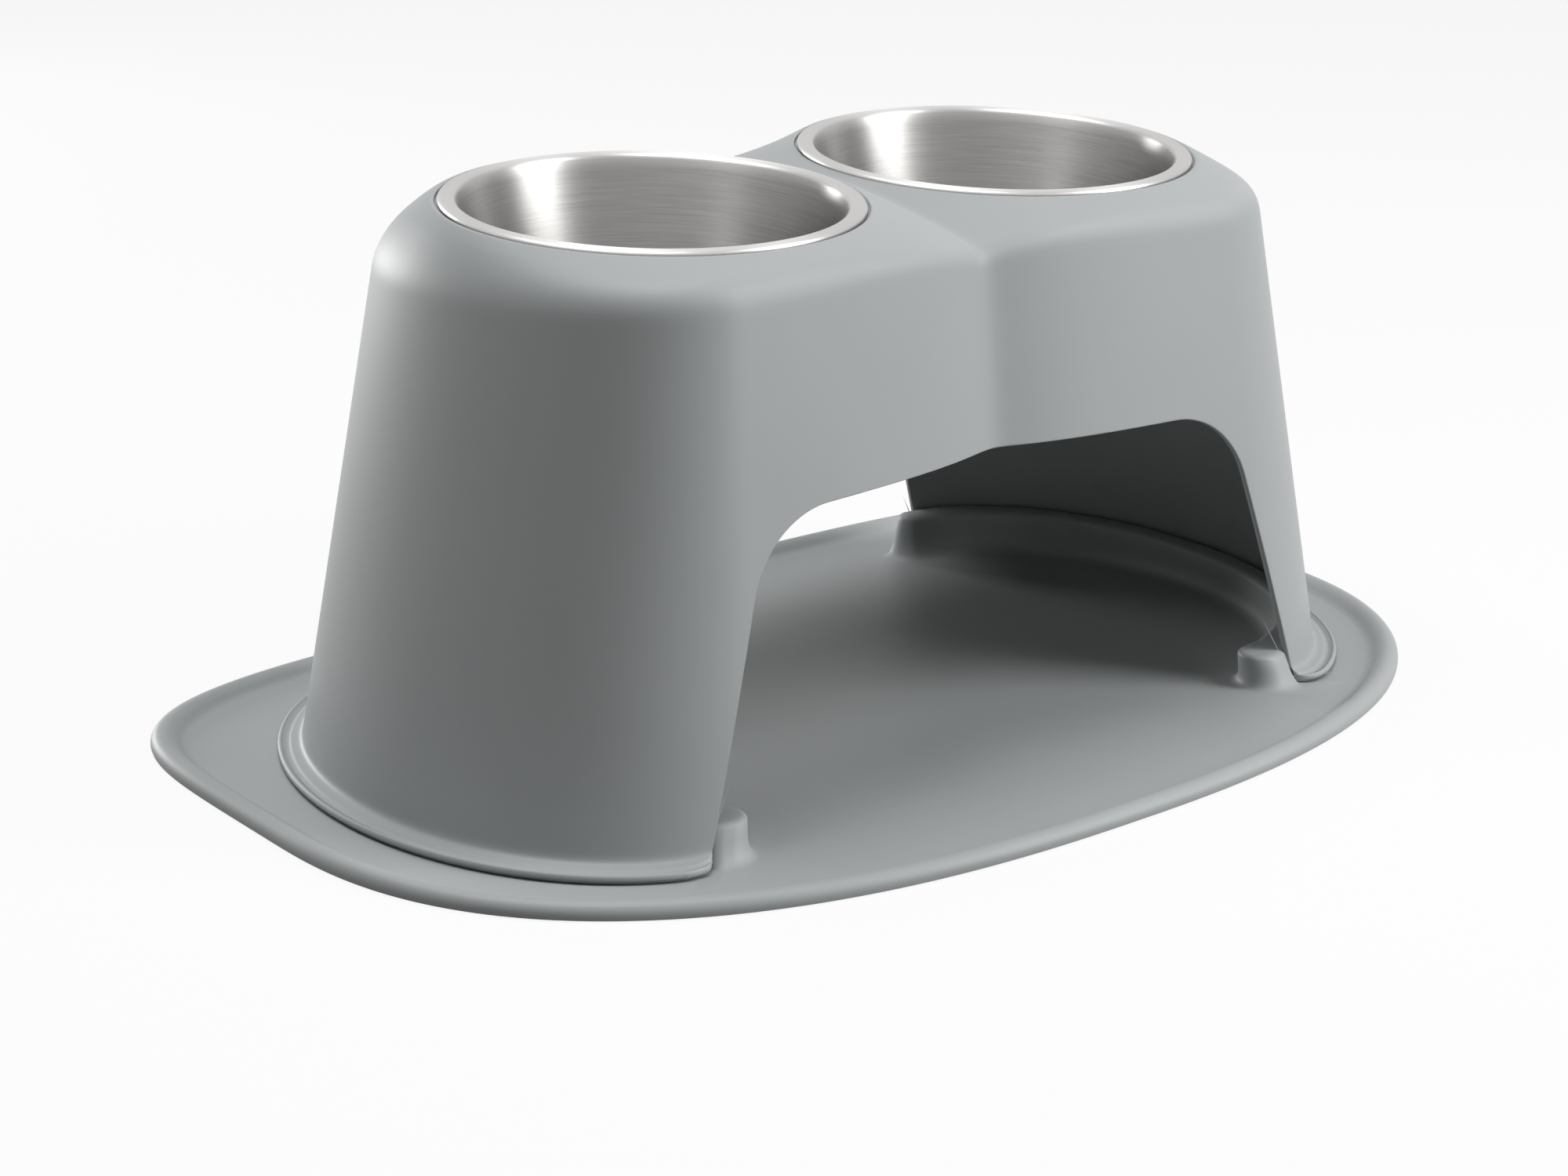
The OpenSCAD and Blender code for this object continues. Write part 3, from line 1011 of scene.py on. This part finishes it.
@dataclass
class Bowl:
    """A drawn steel bowl with a flat flange and a rolled edge, in millimetres and degrees."""

    seat: Seat
    side: Side
    flange_w: float = 8.5
    depth: float = 66.0
    taper: float = 14.0
    corner_r: float = 16.0
    lip_r: float = 2.5
    steel: float = 0.9
    turns: int = 192
    floor_cells: int = 8
    corner_cells: int = 12
    side_cells: int = 12
    lip_cells: int = 8
    roll_cells: int = 10
    crease: float = 50.0

    UV = "round_the_bowl"

    def skin(self, t: float) -> list[Pair]:
        """Section of the bowl's inside, or of its outside.

        Args:
            t: Distance that the section lies outside the inner face.

        Returns:
            Radii and heights under the rim, from the middle of the floor to the flange.
        """
        mouth = self.seat.rim_r - self.flange_w
        lip = (mouth + self.lip_r, -self.lip_r)
        low = -self.depth + self.corner_r
        slope = math.radians(self.taper)
        reach = self.corner_r + self.lip_r + (lip[1] - low) * math.sin(slope)
        corner = (lip[0] - reach / math.cos(slope), low)
        cells = self.floor_cells
        floor = [(corner[0] * i / cells, -self.depth - t) for i in range(cells)]
        bend = arc(corner, self.corner_r + t, -90, -self.taper, self.corner_cells)
        turn = arc(lip, self.lip_r - t, 180 - self.taper, 90, self.lip_cells)
        shares = [i / self.side_cells for i in range(1, self.side_cells)]
        (r, z), (end_r, end_z) = bend[-1], turn[0]
        side = [(lerp(r, end_r, share), lerp(z, end_z, share)) for share in shares]
        return floor + bend + side + turn

    def section(self) -> list[Pair]:
        """The bowl's whole section.

        Returns:
            Radii and heights under the rim, from the middle inside to the middle underneath.
        """
        s = self.seat
        roll = arc((s.rim_r - s.roll_r, -s.roll_r), s.roll_r, 90, -90, self.roll_cells)
        tuck = s.rim_r - s.roll_r - self.steel
        fold = [(tuck, -2 * s.roll_r), (tuck, -self.steel)]
        return self.skin(0) + roll + fold + self.skin(self.steel)[::-1]

    def build(self) -> bpy.types.Object:
        """Models the bowl: its section spun round the leaning axis.

        Returns:
            The bowl.
        """
        place_of = self.seat.frame_of(self.side)
        points = self.section()
        last = len(points) - 1

        def place(i: int, j: int) -> Vector:
            """Point of the patch.

            Args:
                i: Column.
                j: Row.

            Returns:
                The point, in millimetres.
            """
            r, z = points[j]
            turn = 2 * math.pi * i / self.turns
            p = place_of @ Vector((r * math.cos(turn), r * math.sin(turn), z))
            return p + Vector((0, self.seat.centre_y, 0))

        obj = patch("bowl", self.turns, last, place)
        obj.data.uv_layers[0].name = self.UV
        obj = weld([obj], f"{self.side.name.lower()}_bowl")
        smooth(obj, self.crease)
        return obj

    def dress(self, obj: bpy.types.Object) -> None:
        """Gives the bowl its brushed steel and its place in the frame.

        Args:
            obj: The bowl.
        """
        name = f"bowl_{self.side.name.lower()}"
        s = self.seat
        centre = (self.side.value * s.lobe_x, s.centre_y, s.rim_height)
        obj.data.materials.append(BrushedSteel(f"steel_{name}", centre, s.lean).build())
        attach(obj, name)
        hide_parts(name)


@dataclass(frozen=True)
class Station:
    """Where half a section of a ridge stands, and how wide it is.

    The turn counts round the lobe in degrees, away points across the ridge, and across and foot
    are the widths of the half at its top and of its flare.
    """

    turn: float
    away: Vector
    across: float
    foot: float


@dataclass
class Mat:
    """The spill mat: a flat tray with a bead rim, and a locating ridge in each lobe's foot.

    Sizes are in millimetres, and the ridge's turns are in degrees.
    """

    stand: Stand
    under_z: float = 0.6
    reach: float = 304.0
    front: float = 210.5
    back: float = 185.5
    front_power: float = 2.45
    back_power: float = 5.2
    thick: float = 2.0
    bead_w: float = 15.0
    bead_h: float = 7.0
    inner_share: float = 0.7
    inner_rise_share: float = 0.355
    ridge_h: float = 21.0
    ridge_top_w: float = 12.0
    ridge_foot_w: float = 11.0
    ridge_outer_w: float = 0.6
    ridge_round: Pair = (2.5, 4.5)
    ridge_sink: float = 1.2
    ridge_gap: float = 1.0
    ridge_past: float = 22.0
    ridge_fall: Pair = (45.0, 78.0)
    boss_h: float = 17.0
    boss_r: float = 11.0
    boss_front: float = 10.0
    boss_foot_w: float = 7.5
    back_rise: float = 3.0
    columns: int = 360
    edge_steps: int = 4000
    floor_rings: int = 6
    ridge_cells: int = 96
    end_cells: int = 16
    crowding: float = 1.6

    # Round the bead from the hollow under it, up its outside and down to the floor: the share of
    # its width in from the mat's edge, and the share of its height.
    BEAD_SHARES = (
        (0.68, 0.0), (0.52, 0.5), (0.36, 0.6), (0.22, 0.4), (0.18, 0.0),
        (0.02, 0.0), (0.0, 0.16), (0.0, 0.3), (0.01, 0.45), (0.04, 0.6), (0.09, 0.75),
        (0.15, 0.86), (0.22, 0.94), (0.3, 0.99), (0.38, 1.0), (0.46, 0.97), (0.54, 0.9),
        (0.62, 0.79), (0.7, 0.65), (0.78, 0.52), (0.86, 0.43), (0.93, 0.375), (0.965, 0.335),
        (1.0, 0.355),
    )  # fmt: skip

    # Down the flare of a ridge: the share of its width, and the share of the ridge's height.
    FLARE_SHARES = (
        (0.08, 0.64), (0.17, 0.44), (0.28, 0.28), (0.42, 0.16), (0.58, 0.075), (0.78, 0.02),
        (1.0, 0.0),
    )  # fmt: skip

    @property
    def level(self) -> float:
        """Height of the mat's floor."""
        return self.under_z + self.thick

    def edge_of(self, face: Face) -> Pair:
        """The mat's squared outline at a face.

        Args:
            face: Front or back.

        Returns:
            Its power, and its reach from the middle.
        """
        if face is Face.FRONT:
            return self.front_power, self.front
        return self.back_power, self.back

    def quarter(self, t: float, power: float, a: float, b: float) -> Pair:
        """Point of a squared ellipse at angle t, from the middle of its long side."""
        return a * math.sin(t) ** (2 / power), b * max(math.cos(t), 0) ** (2 / power)

    def ways(self, face: Face) -> list[float]:
        """Angles of the columns of a quarter, spaced evenly along its edge.

        Args:
            face: Front or back.

        Returns:
            The angles, as quarter takes them.
        """
        power, b = self.edge_of(face)
        fine = [math.pi / 2 * (i / self.edge_steps) for i in range(self.edge_steps + 1)]
        pts = [self.quarter(t, power, self.reach, b) for t in fine]
        way = [0.0]
        for p, q in zip(pts, pts[1:]):
            way.append(way[-1] + math.hypot(q[0] - p[0], q[1] - p[1]))
        found, k = [], 0
        for i in range(self.columns // 4 + 1):
            goal = way[-1] * i / (self.columns // 4)
            while k < len(way) - 1 and way[k] < goal:
                k += 1
            found.append(fine[k])
        return found

    def outline(self, inset: float) -> list[Pair]:
        """The mat's edge, drawn in.

        Args:
            inset: How far it is drawn in.

        Returns:
            Its points, all the way round from the middle of the front.
        """
        found = []
        for face in Face:
            power, b = self.edge_of(face)
            row = [self.quarter(t, power, self.reach - inset, b - inset) for t in self.ways(face)]
            row = [(x, face.value * y) for x, y in row]
            found += row if face is Face.FRONT else row[::-1]
        side = self.columns // 4
        right = found[:side] + found[side + 1 :]
        left = [(-x, y) for x, y in right[::-1]]
        return right[:-1] + left[:-1]

    def tray(self) -> bpy.types.Object:
        """The floor with its bead and the hollow under it.

        Returns:
            The tray.
        """
        rings = []
        for inset, rise in self.BEAD_SHARES:
            z = self.under_z + rise * self.bead_h
            if inset > self.inner_share:
                z = self.level + max(0.0, rise - self.inner_rise_share) * self.bead_h
            rings.append([Vector((x, y, z)) for x, y in self.outline(inset * self.bead_w)])
        inner = self.outline(self.bead_w)
        for k in range(1, self.floor_rings + 1):
            share = 1 - k / self.floor_rings
            rings.append([Vector((x * share, y * share, self.level)) for x, y in inner])
        count = len(rings[0])
        top = patch("tray_top", count, len(rings) - 1, lambda i, j: rings[j][i % count])
        under = self.outline(self.BEAD_SHARES[0][0] * self.bead_w)
        base = []
        for k in range(self.floor_rings + 1):
            share = 1 - k / self.floor_rings
            base.append([Vector((x * share, y * share, self.under_z)) for x, y in under])
        bottom = patch("tray_bottom", count, self.floor_rings, lambda i, j: base[j][i % count])
        return weld([top, bottom], "tray")

    def half_section(self, half: float, foot: float) -> list[Pair]:
        """Half a ridge's section, from its top middle out and down.

        Args:
            half: Width of the half across its top.
            foot: Width of the flare at its foot.

        Returns:
            Distances from the middle line and heights.
        """
        h = self.ridge_h
        r = lerp(*self.ridge_round, min(foot / self.ridge_foot_w, 1))
        points = [(0.0, h), ((half - r) / 2, h), (half - r, h)]
        points += arc((half - r, h - r), r, 75, 15, 4)
        points += [(half + foot * a, h * b) for a, b in self.FLARE_SHARES]
        points.append((half + foot, -self.ridge_sink))
        return points

    def spine(self, turn: float, h: float) -> Vector:
        """Line along the right ridge, half its plain width in from its outer side.

        Args:
            turn: Turn round the lobe in degrees, -90 at the front and 90 at the back.
            h: Height, as the ridge leans with the wall.

        Returns:
            The point, in the stand's own frame.
        """
        st = self.stand
        inset = st.wall + self.ridge_gap + self.ridge_top_w / 2
        start = st.core_x(self.level)
        reach = st.core_x(h) - start + st.reach(h) * (1 - st.core_share) - inset
        t = math.radians(turn)
        return Vector((start + reach * math.cos(t), (st.depth(h) - inset) * math.sin(t), h))

    def fall(self, turn: float) -> float:
        """Share by which a ridge has become its boss at a turn, at the front."""
        start, end = self.ridge_fall
        return ease((-turn - start) / (end - start))

    def end_turn(self, cap: float) -> float:
        """Turn at which the rounded end of a ridge starts.

        Args:
            cap: Length of the rounded end.

        Returns:
            The turn in degrees, as at the back.
        """
        st = self.stand
        start = self.spine(90, self.level).x
        reach = self.spine(0, self.level).x - start
        return math.degrees(math.acos((st.arch_half_w - self.ridge_past + cap - start) / reach))

    def spread(self, turn: float) -> float:
        """Share by which a boss has spread out in front, past the leg's edge.

        Args:
            turn: Turn round the lobe in degrees.

        Returns:
            The share.
        """
        if turn > 0:
            return 0.0
        past = self.stand.arch_half_w - self.ridge_gap - self.spine(turn, self.level).x
        return ease(past / (self.boss_r / 2))

    def stations(self) -> list[Station]:
        """Half sections of a ridge, in order.

        Returns:
            The stations along its inner side, round its back end, back along its outer side and
            round its boss.
        """
        cells, half = self.ridge_cells, self.ridge_top_w / 2
        first, last = -self.end_turn(self.boss_r), self.end_turn(half)
        line = [lerp(first, last, (i / cells) ** self.crowding) for i in range(cells + 1)]
        mids = [self.spine(turn, self.level) for turn in line]
        inner, outer = [], []
        for k, turn in enumerate(line):
            along = (mids[min(k + 1, cells)] - mids[max(k - 1, 0)]).normalized()
            away = Vector((-along.y, along.x, 0))
            fall, spread = self.fall(turn), self.spread(turn)
            foot = lerp(self.ridge_foot_w, self.boss_foot_w, fall)
            inner.append(Station(turn, away, lerp(half, self.boss_r, fall), foot))
            foot = lerp(self.ridge_outer_w, self.boss_foot_w, spread)
            outer.append(Station(turn, -away, lerp(half, self.boss_front, spread), foot))
        outer.reverse()
        round_back, round_front = self.turned(inner[-1], outer[0]), self.turned(outer[-1], inner[0])
        return inner + round_back + outer + round_front

    def turned(self, start: Station, end: Station) -> list[Station]:
        """Half sections that turn round a ridge's end.

        Args:
            start: The station before the end.
            end: The station after it, on the other side.

        Returns:
            The stations between them.
        """
        found = []
        for i in range(1, self.end_cells):
            share = i / self.end_cells
            side = start if share < 0.5 else end
            foot = lerp(side.foot, self.boss_foot_w, math.sin(math.pi * share) ** 2)
            across = lerp(start.across, end.across, (1 - math.cos(math.pi * share)) / 2)
            away = Matrix.Rotation(-math.pi * share, 3, "Z") @ start.away
            found.append(Station(start.turn, away, across, foot))
        return found

    def column(self, station: Station) -> list[Vector]:
        """Half a section of a ridge, in its place.

        Args:
            station: Where it stands, and its widths.

        Returns:
            Its points, from the ridge's top to under the floor.
        """
        turn = station.turn
        rise = lerp(1, self.boss_h / self.ridge_h, self.fall(turn))
        if turn > 0:
            rise += self.back_rise * math.sin(math.radians(turn)) / self.ridge_h
        spread = self.spread(turn)
        found = []
        for r, z in self.half_section(station.across, station.foot):
            h = self.level + z * (rise if z > 0 else 1)
            lean = self.stand.leg_lean * max(h - self.level, 0)
            shift = Vector((-lean * spread, 0, 0))
            found.append(self.spine(turn, h) + station.away * r + shift)
        return found

    def ridge(self) -> bpy.types.Object:
        """The right locating ridge: half sections that run along it and turn round its ends.

        Returns:
            The ridge.
        """
        columns = [self.column(station) for station in self.stations()]
        count = len(columns)
        skin = patch("ridge", count, len(columns[0]) - 1, lambda i, j: columns[i % count][j])
        return self.closed(weld([skin], "ridge"))

    def closed(self, obj: bpy.types.Object) -> bpy.types.Object:
        """Fills a piece's open side and turns its faces outwards.

        Args:
            obj: The piece.

        Returns:
            The same piece.
        """
        select_only(obj)
        bpy.ops.object.mode_set(mode="EDIT")
        bpy.ops.mesh.select_mode(type="EDGE")
        bpy.ops.mesh.select_all(action="DESELECT")
        bpy.ops.mesh.select_non_manifold()
        bpy.ops.mesh.fill()
        bpy.ops.mesh.select_all(action="SELECT")
        bpy.ops.mesh.normals_make_consistent(inside=False)
        bpy.ops.object.mode_set(mode="OBJECT")
        return obj

    def build(self) -> bpy.types.Object:
        """Models the mat: the tray with both ridges moulded onto its floor.

        Returns:
            The mat.
        """
        tray = self.tray()
        ridges = self.ridge()
        finish_with(ridges, "MIRROR", use_axis=(True, False, False), use_mirror_merge=False)
        finish_with(tray, "BOOLEAN", operation="UNION", solver="EXACT", object=ridges)
        bpy.data.objects.remove(ridges)
        tray.data.transform(Matrix.Translation((0, self.stand.seat.centre_y * MM, 0)))
        tray.name = "spill_mat"
        smooth(tray)
        return tray

    def dress(self, obj: bpy.types.Object, plastic: bpy.types.Material) -> None:
        """Gives the mat its finish and its place in the frame.

        Args:
            obj: The mat.
            plastic: Its finish.
        """
        obj.data.materials.append(plastic)
        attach(obj, "base")
        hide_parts("mat")


@dataclass
class Pads:
    """The soft pads under the mat, each with a rounded edge and rings moulded in its face."""

    rings: int = 3
    sides: int = 64
    edge_mm: float = 0.3
    groove_mm: float = 0.25
    land_share: float = 0.8
    slope_share: float = 0.1

    DOWNWARDS = -0.9

    def blank(self, node: str) -> tuple[bpy.types.Object, float]:
        """Adds a plain pad in the space of its node.

        Args:
            node: Name of the node.

        Returns:
            The new object and its radius in metres.
        """
        low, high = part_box(node)
        radius, height = (high.x - low.x) / 2, high.z - low.z
        bpy.ops.object.select_all(action="DESELECT")
        bpy.ops.mesh.primitive_cylinder_add(
            vertices=self.sides, radius=radius, depth=height, location=(low + high) / 2
        )
        obj = bpy.context.active_object
        obj.name = node.replace("foot_pad", "grip_pad")
        bpy.ops.object.transform_apply(location=True, rotation=True, scale=True)
        return obj, radius

    def groove(self, obj: bpy.types.Object, radius: float) -> None:
        """Sinks and raises rings in the underside of a pad.

        Args:
            obj: The plain pad.
            radius: Its radius in metres.
        """
        bpy.ops.object.mode_set(mode="EDIT")
        bpy.ops.mesh.select_all(action="DESELECT")
        bpy.ops.object.mode_set(mode="OBJECT")
        for face in obj.data.polygons:
            face.select = face.normal.z < self.DOWNWARDS
        bpy.ops.object.mode_set(mode="EDIT")
        step = radius / (self.rings + 1)
        for k in range(self.rings + 1):
            sunk = self.groove_mm if k % 2 == 0 else -self.groove_mm
            bpy.ops.mesh.inset(thickness=step * self.land_share, depth=0)
            bpy.ops.mesh.inset(thickness=step * self.slope_share, depth=-sunk * MM)
        bpy.ops.object.mode_set(mode="OBJECT")

    def build(self, node: str, rubber: bpy.types.Material) -> bpy.types.Object:
        """Models one pad in the space of its node and dresses it.

        Args:
            node: Name of the node.
            rubber: The pads' finish.

        Returns:
            The pad.
        """
        obj, radius = self.blank(node)
        self.groove(obj, radius)
        finish_with(
            obj, "BEVEL", width=self.edge_mm * MM, segments=2, limit_method="ANGLE",
            angle_limit=math.radians(70), use_clamp_overlap=True,
        )  # fmt: skip
        smooth(obj)
        obj.data.materials.append(rubber)
        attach(obj, "base")
        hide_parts(node)
        return obj


@dataclass(frozen=True)
class Lamp:
    """A soft rectangular lamp: its place and size in metres, and its power."""

    name: str
    place: Triple
    size: Pair
    watts: float

    def hang(self, aim: Triple) -> None:
        """Hangs the lamp.

        Args:
            aim: The place that it faces, in metres.
        """
        data = bpy.data.lights.new(self.name, "AREA")
        data.shape = "RECTANGLE"
        data.size, data.size_y = self.size
        data.energy = self.watts
        obj = bpy.data.objects.new(self.name, data)
        obj.location = self.place
        facing = Vector(aim) - Vector(self.place)
        obj.rotation_euler = facing.to_track_quat("-Z", "Y").to_euler()
        bpy.context.scene.collection.objects.link(obj)


@dataclass
class Studio:
    """Pale floor, soft lamps and the camera at the photograph's angle."""

    camera_mm: Triple = (-873.4, -1042.2, 509.9)
    pitch: float = 0.323
    heading: float = -0.676
    focal_px: float = 3853.9
    sensor_mm: float = 36.0
    sight_m: float = 100.0
    floor_m: float = 12.0
    floor_grey: float = 0.8
    glow_share: float = 0.9
    bounce: float = 0.3
    fill: float = 0.03
    aim: Triple = (0.0, 0.0, 0.12)

    LAMPS = (
        Lamp("key", (1.18, -1.41, 1.78), (0.9, 0.9), 23.0),
        Lamp("low_key", (1.48, -1.82, 0.75), (1.1, 1.2), 30.0),
        Lamp("back_edge", (-0.41, 2.35, 0.37), (0.7, 0.4), 21.0),
        Lamp("top", (-0.45, 0.3, 2.3), (1.5, 1.5), 37.0),
    )

    def camera(self) -> None:
        """Places the camera."""
        data = bpy.data.cameras.new("camera")
        data.sensor_width = self.sensor_mm
        data.lens = self.focal_px * self.sensor_mm / PHOTO_WIDTH_PX
        data.clip_end = self.sight_m
        obj = bpy.data.objects.new("camera", data)
        obj.location = Vector(self.camera_mm) * MM
        obj.rotation_euler = (math.pi / 2 - self.pitch, 0, self.heading)
        bpy.context.scene.collection.objects.link(obj)
        bpy.context.scene.camera = obj

    def floor(self) -> None:
        """Lays the pale floor, bright to the camera but still taking the shadow."""
        bpy.ops.object.select_all(action="DESELECT")
        bpy.ops.mesh.primitive_plane_add(size=self.floor_m)
        obj = bpy.context.active_object
        obj.name = "floor"
        n = Nodes(bpy.data.materials.new("pale_floor"))
        path = n.add("LightPath")
        diffuse = path.outputs["Is Diffuse Ray"]
        shade = n.add("MapRange", Value=diffuse, in3=self.floor_grey, in4=self.bounce)
        plain = n.add("BsdfDiffuse", Color=shade.outputs[0])
        glow = n.add("Emission", Color=(1.0, 1.0, 1.0, 1.0), Strength=1.0)
        share = n.maths("MULTIPLY", n.seen(path), self.glow_share)
        mix = n.add("MixShader", Fac=share, in1=plain.outputs[0], in2=glow.outputs[0])
        n.add("OutputMaterial", Surface=mix.outputs[0])
        obj.data.materials.append(n.owner)

    def world(self) -> None:
        """Gives the world its plain level, and white where the camera or a gloss sees it."""
        n = Nodes(bpy.data.worlds.new("studio"))
        bpy.context.scene.world = n.owner
        seen = n.seen(n.add("LightPath"))
        level = n.add("MapRange", Value=seen, in3=self.fill, in4=1.0)
        back = n.add("Background", Strength=level.outputs[0])
        n.add("OutputWorld", Surface=back.outputs[0])

    def build(self) -> None:
        """Sets up the whole studio."""
        bpy.context.scene.view_settings.view_transform = "Standard"
        self.camera()
        self.floor()
        self.world()
        for lamp in self.LAMPS:
            lamp.hang(self.aim)


def main() -> None:
    """Builds the feeder piece by piece, then the studio round it."""
    logging.basicConfig(level=logging.INFO, format="%(name)s: %(message)s")
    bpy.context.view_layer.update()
    seat = Seat()
    plastic = MouldedPlastic().build()
    rubber = SoftRubber().build()
    stand = Stand(seat)
    made = stand.build()
    stand.dress(made, plastic)
    report(made)
    mat = Mat(stand)
    made = mat.build()
    mat.dress(made, plastic)
    report(made)
    for side in Side:
        bowl = Bowl(seat, side)
        made = bowl.build()
        bowl.dress(made)
        report(made)
    pads = Pads()
    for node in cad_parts:
        if node.startswith("foot_pad"):
            report(pads.build(node, rubber))
    Studio().build()


if __name__ == "__main__":
    main()
